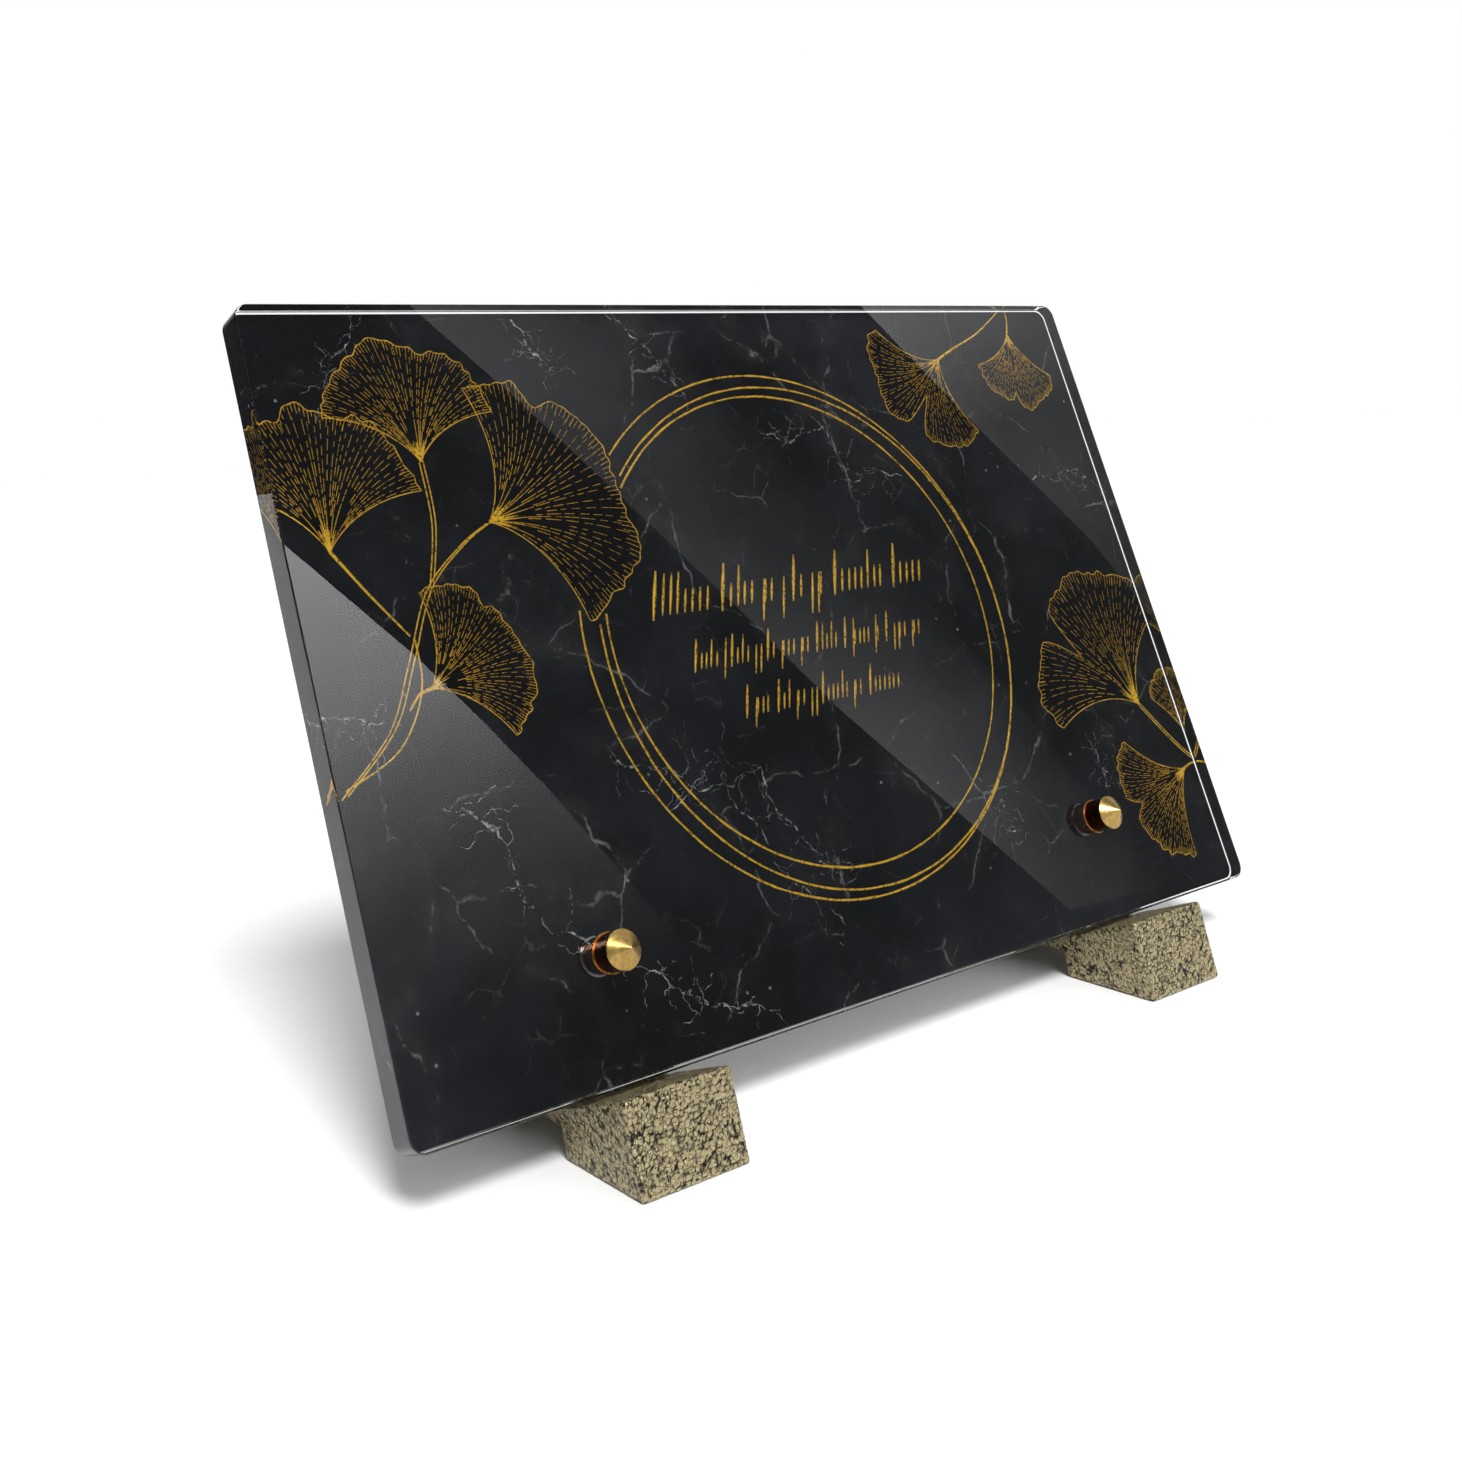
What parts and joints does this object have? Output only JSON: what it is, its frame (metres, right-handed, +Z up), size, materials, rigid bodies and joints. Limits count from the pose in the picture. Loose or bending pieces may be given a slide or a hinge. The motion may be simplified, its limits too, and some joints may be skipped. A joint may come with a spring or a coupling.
{
  "type": "memorial plaque on two cast feet",
  "caption": "Leaning memorial plaque: clear acrylic panel over a black marble-print backing, held by brass studs to cast bronze-lacquered feet.",
  "frame": {"origin": "on the ground, at the centre of the box round the whole object", "axes": "+Z up, +X along the plaque's width (to the right seen from the front), -Y is the front, which leans back towards +Y"},
  "size_m": [0.3, 0.0992, 0.2044],
  "materials": {
    "clear_acrylic": "clear cast acrylic, flame-polished edges",
    "marble_print": "black marble print with gold line art, seen through the panel",
    "bronze_lacquer": "hammered bronze lacquer on a casting",
    "turned_brass": "fine turned, clear-lacquered",
    "stainless_steel": "satin"
  },
  "bodies": {
    "root": {"acrylic_panel": "clear_acrylic", "printed_backing": "marble_print", "foot_left": "bronze_lacquer", "foot_right": "bronze_lacquer", "stud_left": "turned_brass", "stud_right": "turned_brass", "washer_left": "stainless_steel", "washer_right": "stainless_steel"}
  },
  "joints": []
}
